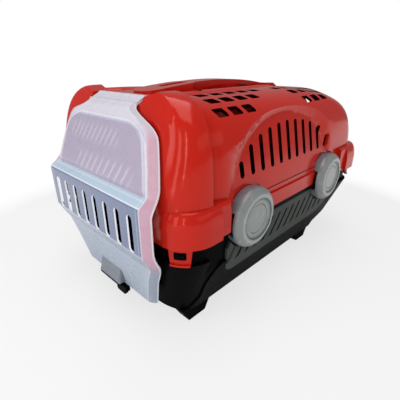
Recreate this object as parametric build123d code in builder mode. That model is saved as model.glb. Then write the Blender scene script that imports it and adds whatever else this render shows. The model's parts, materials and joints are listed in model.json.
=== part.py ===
from build123d import *
import math
import os

# Pet carrier: a red lid and a black tub that clip together, a hinged clear door
# at the front, a carrying handle on the roof and four wheel shaped side locks.
# Millimetres. X is the width, the front faces -Y, Z is up from the floor.

# Fits and walls
wall = 3.0
gap = 0.3
running_fit = 0.06

# Levels
tub_floor_z = 20.0
shoulder_z = 118.0
seam_z = 145.0
belt_top_z = 188.0
side_curve_z = 160.0
roof_z = 298.0
hump_z = 305.0
crown_share = 0.985

# Tub, in plan at its floor, at its shoulder and at the neck under the seam
tub_floor_half_width = 115.0
tub_floor_front = 212.0
tub_floor_rear = 233.0
shoulder_half_width = 152.0
shoulder_front = 226.0
shoulder_rear = 248.0
tub_corner = 40.0
neck_inset = 5.0
lip_height = 7.0
lip_wall = 2.2
front_sweep_y = 197.0
front_sweep_angle = 34.0
rear_sweep_y = 156.0
rear_sweep_angle = 26.0

# Belt round the lid, above the seam
belt_half_width = 160.0
belt_front = 233.0
belt_rear = 254.0
belt_corner = 42.0
belt_shoulder_depth = 10.0
belt_shoulder_height = 25.0

# Lid body and the thick collar round the door
lid_rear = 248.0
lid_front = 200.0
lid_corner = 46.0
lid_side_power = 4.6
lid_rear_power = 2.5
collar_rise = 3.5
collar_power = 4.5
collar_rear_low = 182.0
collar_rear_high = 172.0
collar_rear_power = 5
collar_corner = 45.0
collar_clearance = 1.3
saddle_half_width = 56.0
saddle_top_half_width = 80.0

# Rounded ridge on each side of the handle: its middle line seen from above, and its top
ridge_radius = 12.0
ridge_places = ((74.0, -178.0), (60.0, -113.0), (52.0, -60.0), (50.0, 0.0), (50.0, 60.0), (50.0, 112.0))
ridge_rises = (3.0, 3.0, 2.5, 2.3, 1.0, -7.5)

# Doorway
doorway_half_width = 100.0
doorway_sill_z = 60.0
doorway_top_z = 268.0
doorway_top_half_width = 76.0
doorway_bend_z = 196.0
doorway_corner = 26.0

# Door: outer surface seen from the side, from the bottom edge up to the hinge
door_wall = 2.6
door_bottom = (-229.0, 38.0)
door_belt_foot = (-241.0, 108.0)
door_belt_low = (-254.0, 132.0)
door_belt_high = (-254.0, 176.0)
door_transom = (-240.0, 194.0)
door_pane_top = (-219.0, 276.0)
door_bend = (-214.0, 287.0)
door_bend_radius = 7.0

# Door: outline seen from the front
door_bottom_half_width = 90.0
door_lower_half_width = 105.0
door_lower_z = 84.0
door_half_width = 120.0
door_pane_half_width = 110.0
door_pane_z = 230.0
door_shoulder_half_width = 97.0
door_shoulder_z = 268.0
tongue_root_half_width = 54.0
tongue_half_width = 51.0
rim_wall = 2.6
rim_depth = 9.0
pane_border = 13.0
pane_rise = 2.0
door_slot_count = 8
door_slot_pitch = 26.0
door_slot_width = 9.0
door_slot_height = 48.0
door_slot_z = 158.0
slot_rim = 2.2
slot_rim_rise = 1.4

# Door hinge
hinge_y = -190.0
hinge_drop = 3.5
knuckle_radius = 5.0
hinge_pin_radius = 2.0
hinge_pocket_radius = 7.8
hinge_cheek = 8.0

# Latch at the foot of the door
latch_x = -3.0
cover_half_width = 27.0
cover_low_z = 42.0
cover_high_z = 64.0
cover_depth = 10.0
cover_wall = 1.8
bolt_half_length = 36.0
bolt_height = 7.0
bolt_depth = 7.0
bolt_stem_half_width = 12.0
bolt_stem_thickness = 2.2
bolt_stem_top_z = 49.0
knob_offset = 19.0
knob_width = 22.0
knob_drop = 9.0
knob_corner = 3.0
hook_spacing = 44.0
hook_head = 7.0
hook_arm = 4.0
hook_thickness = 2.1
hook_height = 5.0

# Slots and panel in the side walls
panel_foot_z = 174.0
panel_centre_y = -11.0
panel_inset = 1.5
panel_lean = 11.5
panel_half_length = 127.0
panel_height = 97.0
panel_edge_slope = 1.7
side_slot_centre_y = -0.5
side_slot_count = 11
side_slot_pitch = 23.0
side_slot_width = 8.5
side_slot_low_z = 200.5
side_slot_height = 57.5
side_slot_span = 124.0
side_belt_top_z = 166.0
side_belt_half_width = 150.0
side_belt_front_y = -154.0
side_belt_rear_y = 162.0
bumper_step_x = 155.0
bumper_front_y = -174.0
bumper_rear_y = 184.0

# Slanted vents in the roof: distance from the middle, width, number, first front and rear place
vent_rows = (
    (84.5, 12.0, 5, -135.0, 29.0),
    (105.0, 11.5, 4, -137.0, 48.0),
    (124.0, 10.0, 3, -143.0, 61.0),
)
vent_length = 19.0
vent_pitch = 26.6
vent_slant = 5.0
vent_corner = 2.0
rear_slot_count = 7
rear_slot_pitch = 26.0
rear_slot_width = 8.5
rear_slot_height = 44.0
rear_slot_z = 232.0

# Wheel shaped locks
lock_centre_y = 2.3
lock_spacing_y = 221.6
lock_rise = 4.5
lock_radius = 41.5
lock_face_radius = 32.0
lock_dish_radius = 27.5
lock_dish_depth = 2.5
lock_inner_x = 143.0
lock_shoulder_x = 150.0
lock_outer_x = 164.5
lock_wall = 4.0
lock_hub_radius = 12.0
lock_notch_width = 34.0
lock_notch_depth = 9.5
cam_inner_radius = 24.5
cam_outer_radius = 31.0
cam_angle = 70.0
well_x = 142.0
well_radius = 43.5
pivot_radius = 6.0
pivot_head_radius = 20.0
pivot_head_thickness = 2.2
lug_radius = 14.0
lug_depth = 8.0
ledge_inner_radius = 16.5
ledge_outer_radius = 23.5
ledge_half_width = 14.0
ledge_depth = 8.0

# Corner clips
clip_angle = 35.0
clip_radius = 41.5
clip_wall = 2.4
clip_top_width = 30.0
clip_bottom_width = 23.0
clip_height = 23.5
clip_window_width = 15.0
clip_window_height = 10.0
clip_window_drop = 5.0
clip_lip = 2.5
catch_width = 11.0
catch_height = 6.0
catch_reach = 2.0

# Side treads
side_recess_x = 143.5
side_recess_half_length = 186.0
tread_low_z = 70.0
tread_top_z = 136.0
tread_front_y = -150.0
tread_rear_y = 142.0
tread_thickness = 4.0
tread_corner = 26.0
groove_count = 13
groove_pitch = 20.0
groove_width = 3.5
groove_depth = 1.6
groove_length = 42.0
groove_slant = 38.0
groove_centre_z = 109.0

# Side frames and feet of the tub
frame_rise = 2.5
frame_front = ((-190.0, 20.0), (-178.0, 45.0), (-178.0, 70.0), (-168.0, 92.0), (-156.0, 99.0))
frame_rear = ((150.0, 99.0), (166.0, 70.0), (156.0, 20.0))
foot_half_width = 10.0
foot_x = 104.0
front_foot_y = -172.0
rear_foot_y = 130.0
front_foot_half_length = 16.0
rear_foot_half_length = 15.0
foot_flare = 13.0
foot_edge = 3.0

# Carrying handle
handle_front_y = -166.0
handle_lobe_end_y = -96.0
handle_tail_front_y = 88.0
handle_rear_y = 116.0
handle_lobe_half_width = 24.0
handle_grip_half_width = 17.0
handle_tail_half_width = 38.0
handle_lobe_rise = 4.5
handle_crest_rise = 12.0
handle_crest_y = -20.0
handle_grip_thickness = 8.0
handle_slot_centre_y = -104.0
handle_slot_length = 50.0
handle_slot_width = 14.0
boss_radius = 8.0
boss_x = 29.0
boss_y = 101.0
boss_top_z = 300.5
pocket_half_width = 42.0
pocket_front_y = -88.0
pocket_rear_y = 72.0
pocket_depth = 40.0
screw_radius = 1.8
screw_head_radius = 4.0
screw_head_height = 2.5
screw_length = 6.0
front_screw_x = 12.0
front_screw_y = -146.0

# Worked out from the sizes above
sides = (1, -1)
os.makedirs("parts", exist_ok=True)
lid_half_width = shoulder_half_width - neck_inset
neck_front = shoulder_front - neck_inset
neck_rear = shoulder_rear - neck_inset
neck_top_z = seam_z - gap
collar_half_width = lid_half_width + collar_rise
hinge_z = roof_z - hinge_drop
lock_z = seam_z + lock_rise
side_foot_z = tub_floor_z + (side_recess_x - tub_floor_half_width) * (shoulder_z - tub_floor_z) / (
    shoulder_half_width - tub_floor_half_width
)
lock_places = (lock_centre_y - lock_spacing_y / 2, lock_centre_y + lock_spacing_y / 2)
door_gap = door_wall + gap
hinge_cheek_x = tongue_half_width + wall
hinge_pin_half_length = hinge_cheek_x + hinge_cheek
right_screws = ((front_screw_x, front_screw_y), (boss_x, boss_y))
screw_places = [(side * x, y) for side in sides for x, y in right_screws]
bolt_low_z = door_bottom[1] - gap - bolt_height
bolt_back_y = -door_bottom[0] - gap * 2
keeper_front_y = bolt_back_y - 1.0
keeper_root_y = tub_floor_front - wall


def curved_size(full, z, top, power, low=side_curve_z):
    # Full size up to the level low, then a rounded curve that ends in the flat roof.
    if z <= low:
        return full
    share = crown_share * (z - low) / (top - low)
    return full * (1 - share ** power) ** (1 / power)


def door_line_y(z):
    # Outer face of the upper pane, continued straight up and down.
    slope = (door_pane_top[0] - door_transom[0]) / (door_pane_top[1] - door_transom[1])
    return door_transom[0] + (z - door_transom[1]) * slope


def lower_door_y(z):
    slope = (door_belt_foot[0] - door_bottom[0]) / (door_belt_foot[1] - door_bottom[1])
    return door_bottom[0] + (z - door_bottom[1]) * slope


def rounded_block(half_width, front, rear, corner, low, high):
    # Upright block with rounded corners in plan; front and rear are distances from the middle.
    with BuildPart() as block:
        with BuildSketch(Plane.XY.offset(low)):
            with Locations((0, (rear - front) / 2)):
                RectangleRounded(2 * half_width, front + rear, corner)
        extrude(amount=high - low)
    return block.part


def tapered_block(low_sizes, high_sizes, corner, low, high):
    with BuildPart() as block:
        for sizes, z in ((low_sizes, low), (high_sizes, high)):
            half_width, front, rear = sizes
            with BuildSketch(Plane.XY.offset(z)):
                with Locations((0, (rear - front) / 2)):
                    RectangleRounded(2 * half_width, front + rear, corner)
        loft(ruled=True)
    return block.part


def lid_form(inset, low):
    # Main body of the lid: sides and tail curve over into the roof.
    top = roof_z - inset
    steps = (0.0, 0.25, 0.45, 0.62, 0.76, 0.87, 0.95, 1.0)
    with BuildPart() as form:
        levels = [low] + [side_curve_z + step * (top - side_curve_z) for step in steps]
        for z in levels:
            half_width = curved_size(lid_half_width - inset, z, top, lid_side_power)
            rear = curved_size(lid_rear - inset, z, top, lid_rear_power)
            front = lid_front - inset
            with BuildSketch(Plane.XY.offset(z)):
                with Locations((0, (rear - front) / 2)):
                    RectangleRounded(2 * half_width, front + rear, lid_corner - inset)
        loft()
    return form.part


def collar_form(inset, low):
    # Thick arch round the door, leaning back with it.
    top = hump_z - inset
    steps = (0.0, 0.3, 0.55, 0.75, 0.9, 1.0)
    with BuildPart() as form:
        levels = [low] + [side_curve_z + step * (top - side_curve_z) for step in steps]
        for z in levels:
            half_width = curved_size(collar_half_width - inset, z, top, collar_power)
            front = max(door_line_y(z) + rim_depth + collar_clearance, wall - belt_front) + inset
            lean = max(0.0, z - side_curve_z) / (hump_z - side_curve_z)
            drawn_forward = (collar_rear_low - collar_rear_high) * lean ** collar_rear_power
            rear = drawn_forward - collar_rear_low - inset
            with BuildSketch(Plane.XY.offset(z)) as section:
                with BuildLine():
                    Polyline(
                        (-half_width, front),
                        (half_width, front),
                        (half_width, rear),
                        (-half_width, rear),
                        close=True,
                    )
                make_face()
                corner = min(collar_corner - inset, (rear - front) * 0.95)
                fillet(section.vertices().group_by(Axis.Y)[0], corner)
        loft()
    return form.part


def belt_form(inset, low, high):
    # Upright below, with a tall rounded shoulder like a bumper's.
    foot = high - belt_shoulder_height + inset
    sizes = (belt_half_width - inset, belt_front - inset, belt_rear - inset)
    with BuildPart() as form:
        for step in (0.0, 0.4, 0.7, 0.88, 0.97, 1.0):
            drawn_in = (belt_shoulder_depth - inset) * (1 - math.sqrt(1 - step ** 2))
            half_width, front, rear = [size - drawn_in for size in sizes]
            with BuildSketch(Plane.XY.offset(foot + step * (high - foot))):
                with Locations((0, (rear - front) / 2)):
                    RectangleRounded(2 * half_width, front + rear, belt_corner - inset - drawn_in)
        loft()
        add(rounded_block(*sizes, belt_corner - inset, low, foot))
    return form.part


def side_prism(points, half_width):
    # A shape drawn in the side view and run across the width.
    with BuildPart() as prism:
        with BuildSketch(Plane.YZ):
            with BuildLine():
                Polyline(*points, close=True)
            make_face()
        extrude(amount=half_width, both=True)
    return prism.part


def mirrored(shape):
    return shape.mirror(Plane.YZ)


def disc_x(radius, y, z, inner_x, outer_x):
    # Round plug on the right side, its axis across the width.
    with BuildPart() as disc:
        with BuildSketch(Plane.YZ.offset(inner_x)):
            with Locations((y, z)):
                Circle(radius)
        extrude(amount=outer_x - inner_x)
    return disc.part


def side_plate(points, inner_x, outer_x):
    # A shape drawn in the side view, standing on the right side only.
    with BuildPart() as plate:
        with BuildSketch(Plane.YZ.offset(inner_x)):
            with BuildLine():
                Polyline(*points, close=True)
            make_face()
        extrude(amount=outer_x - inner_x)
    return plate.part


def roof_under_z(y):
    # Level of the roof's inner face on the middle line, found by halving.
    low, high = side_curve_z, roof_z - wall
    while high - low > running_fit / 10:
        middle = (low + high) / 2
        if curved_size(lid_rear - wall, middle, roof_z - wall, lid_rear_power) > y:
            low = middle
        else:
            high = middle
    return low


def doorway():
    with BuildPart() as opening:
        with BuildSketch(Plane.XZ.offset(lid_front - lid_corner)) as outline:
            with BuildLine():
                Polyline(
                    (-doorway_half_width, doorway_sill_z),
                    (doorway_half_width, doorway_sill_z),
                    (doorway_half_width, doorway_bend_z),
                    (doorway_top_half_width, doorway_top_z),
                    (-doorway_top_half_width, doorway_top_z),
                    (-doorway_half_width, doorway_bend_z),
                    close=True,
                )
            make_face()
            fillet(outline.vertices(), doorway_corner)
        extrude(amount=belt_front - lid_front + 2 * lid_corner)
    return opening.part


def panel_recess(inset):
    # Hollow beyond the leaning panel in the side wall; its edge opens out like a dish.
    lean = math.radians(panel_lean)
    foot_x = lid_half_width - panel_inset - inset / math.cos(lean)
    plane = Plane(
        origin=(foot_x, panel_centre_y, panel_foot_z),
        x_dir=(0, 1, 0),
        z_dir=(math.cos(lean), 0, math.sin(lean)),
    )
    reach = 30.0
    with BuildPart() as recess:
        with BuildSketch(plane):
            Ellipse(panel_half_length + inset, panel_height + inset)
        with BuildSketch(plane.offset(reach)):
            spread = reach * panel_edge_slope + inset
            Ellipse(panel_half_length + spread, panel_height + spread)
        loft(ruled=True)
        split(bisect_by=Plane.XY.offset(panel_foot_z), keep=Keep.TOP)
    return recess.part


def side_belt_recess(inset):
    # The belt is cut back between the wheels, less deep below than above.
    front = side_belt_front_y - inset
    rear = side_belt_rear_y + inset
    low = side_plate(
        ((front, seam_z), (rear, seam_z), (rear, belt_top_z), (front, belt_top_z)),
        side_belt_half_width - inset,
        belt_half_width + wall,
    )
    step_z = side_belt_top_z - inset
    high = side_plate(
        ((front, step_z), (rear, step_z), (rear, belt_top_z), (front, belt_top_z)),
        lid_half_width - inset,
        belt_half_width + wall,
    )
    front = bumper_front_y - inset
    rear = bumper_rear_y + inset
    step = side_plate(
        ((front, seam_z), (rear, seam_z), (rear, belt_top_z), (front, belt_top_z)),
        bumper_step_x - inset,
        belt_half_width + wall,
    )
    return low + high + step


def finger_pocket(inset):
    length = pocket_rear_y - pocket_front_y
    with BuildPart() as pocket:
        with BuildSketch(Plane.XY.offset(roof_z - pocket_depth - inset)):
            with Locations((0, (pocket_rear_y + pocket_front_y) / 2)):
                SlotOverall(length + 2 * inset, 2 * (pocket_half_width + inset), rotation=90)
        extrude(amount=pocket_depth + 2 * wall)
    return pocket.part


def saddle(inset):
    # The collar dips between its two rounded humps, where the handle and the hinge sit.
    with BuildPart() as dip:
        with BuildSketch(Plane.XZ.offset(lid_front - 2 * lid_corner)):
            with BuildLine():
                right = Polyline(
                    (0, roof_z - inset),
                    (saddle_half_width, roof_z - inset),
                    (saddle_top_half_width, hump_z - inset),
                    (saddle_top_half_width, hump_z + wall),
                    (0, hump_z + wall),
                )
                mirror(right, about=Plane.YZ)
            make_face()
        extrude(amount=4 * lid_corner)
    return dip.part


def ridges():
    # Rounded ridges on the roof that run back from the humps and sink in at the tail.
    with BuildPart() as rods:
        places = zip(ridge_places, ridge_rises)
        with BuildLine() as path:
            Spline(*[(x, y, roof_z + rise - ridge_radius) for (x, y), rise in places])
        with BuildSketch(Plane(origin=path.line @ 0, z_dir=path.line % 0)):
            Circle(ridge_radius)
        sweep()
    return rods.part + mirrored(rods.part)


def tongue_line():
    # Outer face of the door's tongue in the side view, from the bend to above the pin.
    return door_bend, (hinge_y, hinge_z + knuckle_radius)


def tongue_path(inset):
    (bend_y, bend_z), (top_y, top_z) = tongue_line()
    slope = (top_z - bend_z) / (top_y - bend_y)
    drop = (door_gap + inset) / math.cos(math.atan(slope))
    reach = door_bend_radius * 3
    front_y = bend_y - reach
    rear_y = hinge_y
    points = (
        (front_y, bend_z - reach * slope - drop),
        (rear_y, top_z + (rear_y - top_y) * slope - drop),
        (rear_y, hump_z + wall),
        (front_y, hump_z + wall),
    )
    return side_prism(points, tongue_root_half_width + wall + inset)


def brow(inset):
    # Above the pane the front of the collar leans back further, as the door does.
    slope = (door_bend[0] - door_pane_top[0]) / (door_bend[1] - door_pane_top[1])
    low_y = door_pane_top[0] + rim_depth + collar_clearance + gap + inset
    high_y = low_y + (hump_z + wall - door_pane_top[1]) * slope
    points = (
        (low_y, door_pane_top[1]),
        (high_y, hump_z + wall),
        (low_y - lid_corner, hump_z + wall),
        (low_y - lid_corner, door_pane_top[1]),
    )
    return side_prism(points, belt_half_width)


def roof_vents():
    with BuildPart() as vents:
        with BuildSketch(Plane.XY.offset(roof_z - pocket_depth)):
            for x, width, count, front_y, rear_y in vent_rows:
                for first_y in (front_y, rear_y):
                    for number in range(count):
                        y = first_y + number * vent_pitch
                        with BuildSketch(mode=Mode.PRIVATE) as hole:
                            with BuildLine():
                                Polyline(
                                    (x - width / 2, y - (vent_length + vent_slant) / 2),
                                    (x + width / 2, y - (vent_length - vent_slant) / 2),
                                    (x + width / 2, y + (vent_length + vent_slant) / 2),
                                    (x - width / 2, y + (vent_length - vent_slant) / 2),
                                    close=True,
                                )
                            make_face()
                            fillet(hole.vertices(), vent_corner)
                        add(hole.sketch)
        extrude(amount=2 * pocket_depth)
    return vents.part


def side_slots():
    with BuildPart() as slots:
        with BuildSketch(Plane.YZ.offset(lid_half_width - lid_corner)):
            for number in range(side_slot_count):
                offset_y = (number - (side_slot_count - 1) / 2) * side_slot_pitch
                height = side_slot_height * math.sqrt(1 - (offset_y / side_slot_span) ** 2)
                with Locations((side_slot_centre_y + offset_y, side_slot_low_z + height / 2)):
                    SlotOverall(height, side_slot_width, rotation=90)
        extrude(amount=2 * lid_corner)
    return slots.part


def rear_slots():
    with BuildPart() as slots:
        with BuildSketch(Plane.XZ.offset(-lid_rear - wall)):
            with Locations((0, rear_slot_z)):
                with GridLocations(rear_slot_pitch, 1, rear_slot_count, 1):
                    SlotOverall(rear_slot_height, rear_slot_width, rotation=90)
        extrude(amount=lid_corner * 2)
    return slots.part


def lugs(radius, low_z, high_z):
    # Round bosses round the lock axes, behind the wells, on both sides.
    with BuildPart() as bosses:
        for lock_y in lock_places:
            add(disc_x(radius, lock_y, lock_z, well_x - lug_depth, well_x))
        with BuildSketch(Plane.XY.offset(low_z)):
            Rectangle(3 * belt_half_width, 3 * belt_rear)
        extrude(amount=high_z - low_z, mode=Mode.INTERSECT)
    return bosses.part + mirrored(bosses.part)


def wells(radius, inner_x):
    with BuildPart() as holes:
        for lock_y in lock_places:
            add(disc_x(radius, lock_y, lock_z, inner_x, belt_half_width + wall))
    return holes.part + mirrored(holes.part)


def sweeps(inset):
    # Under the tub the floor rises towards both ends.
    cuts = []
    for y, angle, end in ((-front_sweep_y, front_sweep_angle, -1), (rear_sweep_y, rear_sweep_angle, 1)):
        slope = math.tan(math.radians(angle))
        lift = inset / math.cos(math.radians(angle))
        reach = belt_rear
        points = (
            (y - end * (lift / slope), tub_floor_z),
            (y + end * reach, tub_floor_z + reach * slope + lift),
            (y + end * reach, 0),
            (y - end * (lift / slope), 0),
        )
        cuts.append(side_prism(points, belt_half_width))
    return cuts


def side_recess(inset):
    # Upright face behind the side treads and between the corner columns.
    half_length = side_recess_half_length + inset
    high = tread_top_z + inset
    low = tub_floor_z
    block = side_plate(
        ((-half_length, low), (half_length, low), (half_length, high), (-half_length, high)),
        side_recess_x - inset,
        belt_half_width,
    )
    return block + mirrored(block)


def tread_outline(grow):
    # Side view of the tread, with its rounded lower front corner.
    with BuildPart() as outline:
        with BuildSketch(Plane.YZ.offset(side_recess_x - tub_corner)) as drawing:
            with BuildLine():
                Polyline(
                    (tread_front_y, tread_low_z),
                    (tread_rear_y, tread_low_z),
                    (tread_rear_y, tread_top_z),
                    (tread_front_y, tread_top_z),
                    close=True,
                )
            make_face()
            fillet(drawing.vertices().group_by(Axis.Z)[0], tread_corner)
            if grow > 0:
                offset(amount=grow)
        extrude(amount=2 * tub_corner)
    return outline.part


def tub_side(grow):
    # Solid whose slanted side stands out from the tub by grow.
    low = (tub_floor_half_width + grow, tub_floor_front, tub_floor_rear)
    high = (shoulder_half_width + grow, shoulder_front, shoulder_rear)
    return tapered_block(low, high, tub_corner, tub_floor_z, shoulder_z)


def side_frames():
    # Slightly raised panels below the treads that run down into the feet.
    points = list(frame_front) + list(frame_rear)
    with BuildPart() as frame:
        add(side_plate(points, side_recess_x - tub_corner, belt_half_width))
        add(tub_side(frame_rise), mode=Mode.INTERSECT)
        add(tread_outline(0), mode=Mode.SUBTRACT)
    return frame.part + mirrored(frame.part)


def feet():
    with BuildPart() as pads:
        front_foot = (front_foot_y, front_foot_half_length)
        rear_foot = (rear_foot_y, rear_foot_half_length)
        for y, half_length in (front_foot, rear_foot):
            top = half_length + foot_flare
            with BuildSketch(Plane.YZ.offset(foot_x - foot_half_width)) as outline:
                with BuildLine():
                    Polyline(
                        (y - top, tub_floor_z + wall),
                        (y - half_length, 0),
                        (y + half_length, 0),
                        (y + top, tub_floor_z + wall),
                        close=True,
                    )
                make_face()
                fillet(outline.vertices().group_by(Axis.Y)[1:3], foot_edge)
            extrude(amount=2 * foot_half_width)
    return pads.part + mirrored(pads.part)


def ledges():
    # Short arched shelves in the wells that the lock cams turn under.
    with BuildPart() as shelves:
        for lock_y in lock_places:
            with BuildSketch(Plane.YZ.offset(well_x - wall)):
                with Locations((lock_y, lock_z)):
                    Circle(ledge_outer_radius)
                    Circle(ledge_inner_radius, mode=Mode.SUBTRACT)
                with Locations((lock_y, lock_z - ledge_outer_radius)):
                    Rectangle(2 * ledge_half_width, 2 * ledge_inner_radius, mode=Mode.INTERSECT)
            extrude(amount=wall + ledge_depth)
    return shelves.part + mirrored(shelves.part)


def corner_plane(side, end):
    # Frame at the middle of a rounded corner of the neck: x points out through the corner.
    centre_x = side * (shoulder_half_width - tub_corner)
    depth = shoulder_front if end < 0 else shoulder_rear
    centre_y = end * (depth - tub_corner)
    angle = math.radians(clip_angle)
    outward = (side * math.sin(angle), end * math.cos(angle), 0)
    return Plane(origin=(centre_x, centre_y, neck_top_z), x_dir=outward, z_dir=(0, 0, 1))


def catches():
    # Small hooks on the corners of the neck, which fill the windows of the clips.
    with BuildPart() as hooks:
        for side in sides:
            for end in sides:
                plane = corner_plane(side, end)
                root = tub_corner - neck_inset - wall
                reach = clip_radius + clip_wall + catch_reach - root
                drop = clip_window_drop + clip_window_height / 2 + gap
                with BuildSketch(plane.offset(-drop - catch_height / 2)):
                    with Locations((root + reach / 2, 0)):
                        Rectangle(reach, catch_width)
                extrude(amount=catch_height)
    return hooks.part


def keepers():
    # Two hooks on the front wall of the tub, open to the right, for the bolt.
    with BuildPart() as hooks:
        for number in sides:
            x = latch_x + number * hook_spacing / 2 - hook_arm / 2 - hook_head
            with BuildSketch(Plane.XY.offset(bolt_low_z)):
                with Locations((x, -(keeper_front_y + keeper_root_y) / 2)):
                    Rectangle(hook_arm, keeper_front_y - keeper_root_y)
                with Locations((x + (hook_arm + hook_head) / 2, -keeper_front_y + hook_thickness / 2)):
                    Rectangle(hook_head, hook_thickness)
            extrude(amount=hook_height)
    return hooks.part


# Red lid: the outer form with its recesses, then the room inside
with BuildPart() as lid_room:
    add(lid_form(wall, seam_z + wall))
    add(collar_form(wall, seam_z + wall))
    add(belt_form(wall, seam_z + wall, belt_top_z - wall))
    add(saddle(wall), mode=Mode.SUBTRACT)
    for recess in (panel_recess(wall), side_belt_recess(wall)):
        add(recess, mode=Mode.SUBTRACT)
        add(mirrored(recess), mode=Mode.SUBTRACT)
    add(wells(well_radius + wall, well_x - wall), mode=Mode.SUBTRACT)
    add(finger_pocket(wall), mode=Mode.SUBTRACT)
    add(tongue_path(wall), mode=Mode.SUBTRACT)
    add(brow(wall), mode=Mode.SUBTRACT)
    flange_corner = tub_corner - neck_inset - wall
    flange_sizes = (lid_half_width - wall, neck_front - wall, neck_rear - wall)
    add(rounded_block(*flange_sizes, flange_corner, seam_z - wall, seam_z + wall))

with BuildPart() as lid_shell:
    add(lid_form(0, seam_z))
    add(collar_form(0, seam_z))
    add(ridges())
    add(belt_form(0, seam_z, belt_top_z))
    add(saddle(0), mode=Mode.SUBTRACT)
    for recess in (panel_recess(0), side_belt_recess(0)):
        add(recess, mode=Mode.SUBTRACT)
        add(mirrored(recess), mode=Mode.SUBTRACT)
    add(wells(well_radius, well_x), mode=Mode.SUBTRACT)
    add(finger_pocket(0), mode=Mode.SUBTRACT)
    add(lid_room.part, mode=Mode.SUBTRACT)
    # Block that carries the hinge pin, and a boss under each handle screw
    block_half_width = hinge_pin_half_length + wall
    add(
        side_prism(
            (
                (hinge_y - hinge_pocket_radius - wall, roof_z - wall),
                (hinge_y - hinge_pocket_radius - wall, hinge_z - hinge_pocket_radius),
                (hinge_y, hinge_z - hinge_pocket_radius - wall),
                (hinge_y + hinge_pocket_radius + wall, hinge_z - hinge_pocket_radius),
                (hinge_y + hinge_pocket_radius + wall, roof_z),
                (hinge_y, roof_z),
            ),
            block_half_width,
        )
    )
    add(lugs(lug_radius, lock_z - lug_radius, lock_z + lug_radius))
    add(tongue_path(0), mode=Mode.SUBTRACT)
    add(brow(0), mode=Mode.SUBTRACT)
    with BuildSketch(Plane.YZ):
        with Locations((hinge_y, hinge_z)):
            Circle(hinge_pocket_radius)
    extrude(amount=hinge_cheek_x, both=True, mode=Mode.SUBTRACT)
    with BuildSketch(Plane.YZ):
        with Locations((hinge_y, hinge_z)):
            Circle(hinge_pin_radius + running_fit)
    extrude(amount=hinge_pin_half_length + gap, both=True, mode=Mode.SUBTRACT)
    add(doorway(), mode=Mode.SUBTRACT)
    for holes in (roof_vents(), side_slots()):
        add(holes, mode=Mode.SUBTRACT)
        add(mirrored(holes), mode=Mode.SUBTRACT)
    add(rear_slots(), mode=Mode.SUBTRACT)
    for lock_y in lock_places:
        bore = disc_x(
            pivot_radius + running_fit,
            lock_y,
            lock_z,
            well_x - lug_depth - wall,
            well_x + wall,
        )
        add(bore, mode=Mode.SUBTRACT)
        add(mirrored(bore), mode=Mode.SUBTRACT)
    with Locations(*[(x, y, roof_z) for x, y in screw_places]):
        Hole(screw_radius + running_fit, depth=2 * pocket_depth)
lid_shell.part.label = "lid_shell"
export_step(lid_shell.part, "parts/lid_shell.step")

# Black tub
with BuildPart() as tub_room:
    floor_sizes = (tub_floor_half_width, tub_floor_front, tub_floor_rear)
    shoulder_sizes = (shoulder_half_width, shoulder_front, shoulder_rear)
    inner_floor = [size - wall for size in floor_sizes]
    inner_shoulder = [size - wall for size in shoulder_sizes]
    inner_corner = tub_corner - wall
    inner_low = tub_floor_z + wall
    inner_neck = (lid_half_width - wall - gap - lip_wall, neck_front - wall - gap - lip_wall)
    inner_neck_rear = neck_rear - wall - gap - lip_wall
    add(tapered_block(inner_floor, inner_shoulder, inner_corner, inner_low, shoulder_z - wall))
    add(
        rounded_block(
            *inner_neck,
            inner_neck_rear,
            tub_corner - neck_inset - wall - gap - lip_wall,
            shoulder_z - wall - running_fit,
            neck_top_z + lip_height + wall,
        )
    )
    for half_space in sweeps(wall):
        add(half_space, mode=Mode.SUBTRACT)
    add(side_recess(wall), mode=Mode.SUBTRACT)
    add(wells(well_radius + wall, well_x - wall), mode=Mode.SUBTRACT)

with BuildPart() as tub_shell:
    add(tapered_block(floor_sizes, shoulder_sizes, tub_corner, tub_floor_z, shoulder_z))
    neck_sizes = (lid_half_width, neck_front, neck_rear)
    add(rounded_block(*neck_sizes, tub_corner - neck_inset, shoulder_z, neck_top_z))
    lip_sizes = [size - wall - gap for size in neck_sizes]
    lip_corner = tub_corner - neck_inset - wall - gap
    lip = rounded_block(*lip_sizes, lip_corner, neck_top_z, neck_top_z + lip_height)
    add(lip - wells(well_radius + wall + gap, well_x - wall - gap))
    for half_space in sweeps(0):
        add(half_space, mode=Mode.SUBTRACT)
    add(side_recess(0), mode=Mode.SUBTRACT)
    add(side_frames())
    add(wells(well_radius, well_x), mode=Mode.SUBTRACT)
    add(tub_room.part, mode=Mode.SUBTRACT)
    add(lugs(lug_radius + gap, lock_z - lug_radius - gap, belt_top_z), mode=Mode.SUBTRACT)
    add(doorway(), mode=Mode.SUBTRACT)
    add(feet())
    add(ledges())
    add(catches())
    add(keepers())
tub_shell.part.label = "tub_shell"
export_step(tub_shell.part, "parts/tub_shell.step")


def door_strip(outset, thickness):
    # The door's profile seen from the side, run across its width; outset moves it forwards.
    top_y = hinge_y
    with BuildPart() as strip:
        with BuildSketch(Plane.YZ) as profile:
            with BuildLine():
                face = FilletPolyline(
                    (door_bottom[0] - outset, door_bottom[1]),
                    (door_belt_foot[0] - outset, door_belt_foot[1]),
                    (door_belt_low[0] - outset, door_belt_low[1]),
                    (door_belt_high[0] - outset, door_belt_high[1]),
                    (door_transom[0] - outset, door_transom[1]),
                    (door_pane_top[0] - outset, door_pane_top[1]),
                    (door_bend[0] - outset, door_bend[1]),
                    (top_y, hinge_z + knuckle_radius + outset),
                    radius=door_bend_radius,
                )
                offset(face, amount=thickness, side=Side.RIGHT)
            make_face()
        extrude(amount=door_half_width + wall, both=True)
    return strip.part


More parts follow.
